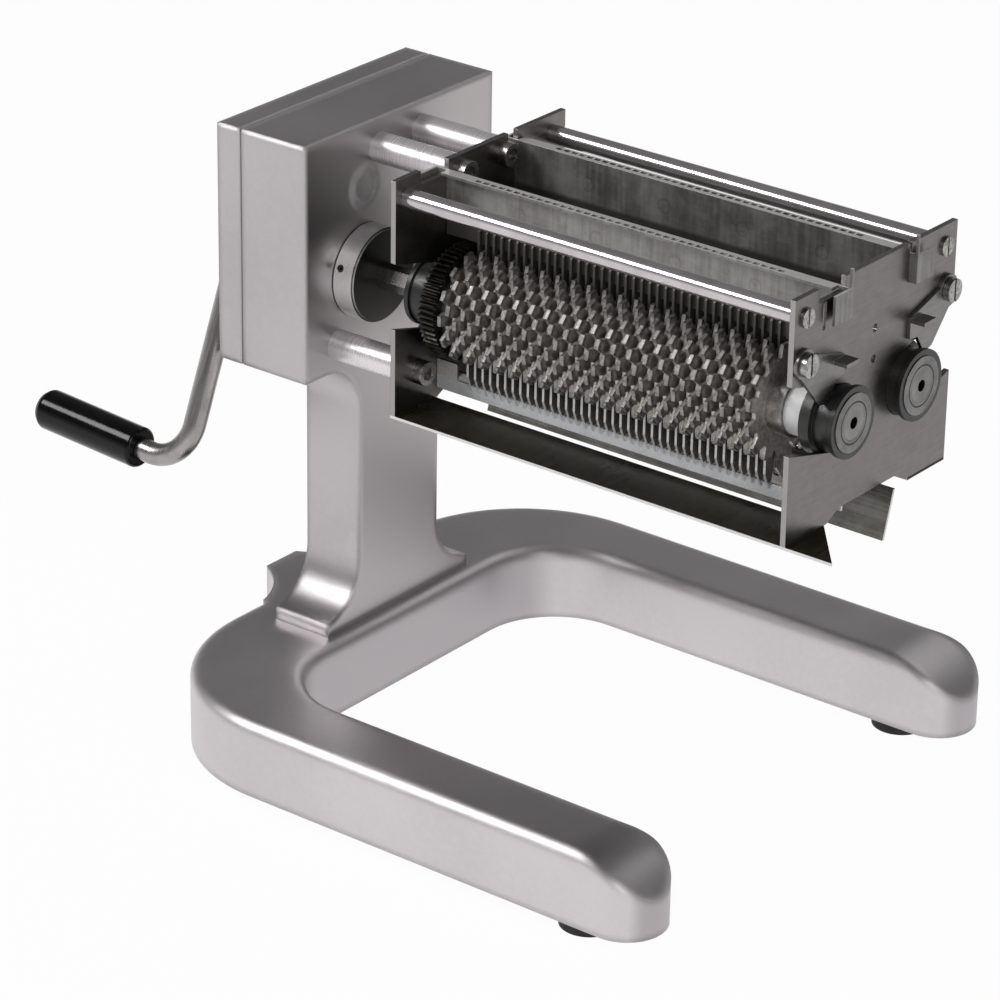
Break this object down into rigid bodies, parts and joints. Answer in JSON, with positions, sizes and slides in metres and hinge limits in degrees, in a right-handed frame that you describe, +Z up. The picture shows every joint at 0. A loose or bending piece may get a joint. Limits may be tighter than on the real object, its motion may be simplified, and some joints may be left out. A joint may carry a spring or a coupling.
{
  "type": "crank meat tenderizer machine",
  "caption": "Hand cranked meat tenderizer: twin bladed rollers in a slotted steel cassette on a geared aluminium column and a U-shaped base.",
  "frame": {"origin": "centre of the machine's length and width, on the table plane under the feet", "axes": "+X along the rollers towards the front plate, +Y to the right seen from the front, +Z up"},
  "size_m": [0.4865, 0.316, 0.328],
  "materials": {
    "cast_aluminium": "cast and blasted, fine grain",
    "machined_aluminium": "machined",
    "rubber_black": "matt",
    "steel_polished": "turned and polished",
    "sheet_steel": "satin sheet",
    "blade_steel": "stamped, bright tips",
    "gear_steel": "machined, oiled",
    "screw_steel": "plain",
    "bronze": "plain bearing",
    "bearing_black": "moulded",
    "white_plastic": "moulded",
    "grip_black": "moulded, gloss",
    "gasket_black": "pressed sheet"
  },
  "bodies": {
    "frame": {"base_casting": "cast_aluminium", "foot_pads": "rubber_black", "foot_screws": "screw_steel", "column_bolts": "screw_steel", "gear_housing": "cast_aluminium", "cover_gasket": "gasket_black", "rear_cover": "cast_aluminium", "cover_screws": "screw_steel", "crank_bushes": "bronze", "drive_bushes": "bronze", "spacer_posts": "steel_polished", "post_bolts": "screw_steel", "rear_plate": "sheet_steel", "front_plate": "sheet_steel", "tie_rods": "steel_polished", "tie_rod_screws": "screw_steel", "guide_sheets": "sheet_steel", "outer_comb_left": "sheet_steel", "outer_comb_right": "sheet_steel", "exit_comb_left": "sheet_steel", "exit_comb_right": "sheet_steel", "bearing_blocks": "bearing_black", "bearing_sleeves": "steel_polished", "latch_screws": "screw_steel"},
    "drive_train": {"drive_shaft": "steel_polished", "drive_wheel": "gear_steel", "drive_wheel_screw": "screw_steel", "coupling_disc": "machined_aluminium", "coupling_screw": "screw_steel", "roller_shaft_left": "steel_polished", "blade_discs_left": "blade_steel", "blade_spacers_left": "gear_steel", "roller_gear_left": "gear_steel", "end_rings_left": "machined_aluminium", "thrust_bush_left": "white_plastic"},
    "right_roller": {"roller_shaft_right": "steel_polished", "blade_discs_right": "blade_steel", "blade_spacers_right": "gear_steel", "roller_gear_right": "gear_steel", "end_rings_right": "machined_aluminium", "thrust_bush_right": "white_plastic"},
    "crank": {"crank_shaft": "steel_polished", "crank_pinion": "gear_steel", "pinion_screw": "screw_steel", "crank_arm": "steel_polished", "crank_hub_screw": "screw_steel", "grip_washer": "screw_steel", "grip_screw": "screw_steel"},
    "grip": {"grip_sleeve": "grip_black"},
    "latch_left": {"latch_left": "sheet_steel"},
    "latch_right": {"latch_right": "sheet_steel"},
    "hopper_wall_left": {"hopper_wall_left": "sheet_steel"},
    "hopper_wall_right": {"hopper_wall_right": "sheet_steel"}
  },
  "joints": [
    {"name": "drive_spin", "type": "hinge", "parent": "frame", "child": "drive_train", "pos_m": [-0.02579, -0.029, 0.2495], "axis": [1, 0, 0], "continuous": true},
    {"name": "right_roller_spin", "type": "hinge", "parent": "frame", "child": "right_roller", "pos_m": [-0.02579, 0.029, 0.2495], "axis": [1, 0, 0], "continuous": true},
    {"name": "crank_spin", "type": "hinge", "parent": "frame", "child": "crank", "pos_m": [-0.14379, -0.029, 0.2945], "axis": [1, 0, 0], "continuous": true},
    {"name": "grip_spin", "type": "hinge", "parent": "crank", "child": "grip", "pos_m": [-0.16694, -0.09213, 0.14209], "axis": [-0.9986, 0.02, 0.0484], "continuous": true},
    {"name": "latch_left_turn", "type": "hinge", "parent": "frame", "child": "latch_left", "pos_m": [0.21721, -0.061, 0.288], "axis": [1, 0, 0], "range_deg": [0, 32]},
    {"name": "latch_right_turn", "type": "hinge", "parent": "frame", "child": "latch_right", "pos_m": [0.21721, 0.061, 0.288], "axis": [-1, 0, 0], "range_deg": [0, 32]},
    {"name": "hopper_wall_left_lift", "type": "slide", "parent": "frame", "child": "hopper_wall_left", "axis": [0, 0, 1], "range_m": [0, 0.06]},
    {"name": "hopper_wall_right_lift", "type": "slide", "parent": "frame", "child": "hopper_wall_right", "axis": [0, 0, 1], "range_m": [0, 0.06]}
  ],
  "couplings": [
    {"joint": "right_roller_spin", "follows": "drive_spin", "ratio": -1},
    {"joint": "crank_spin", "follows": "drive_spin", "ratio": -3}
  ]
}
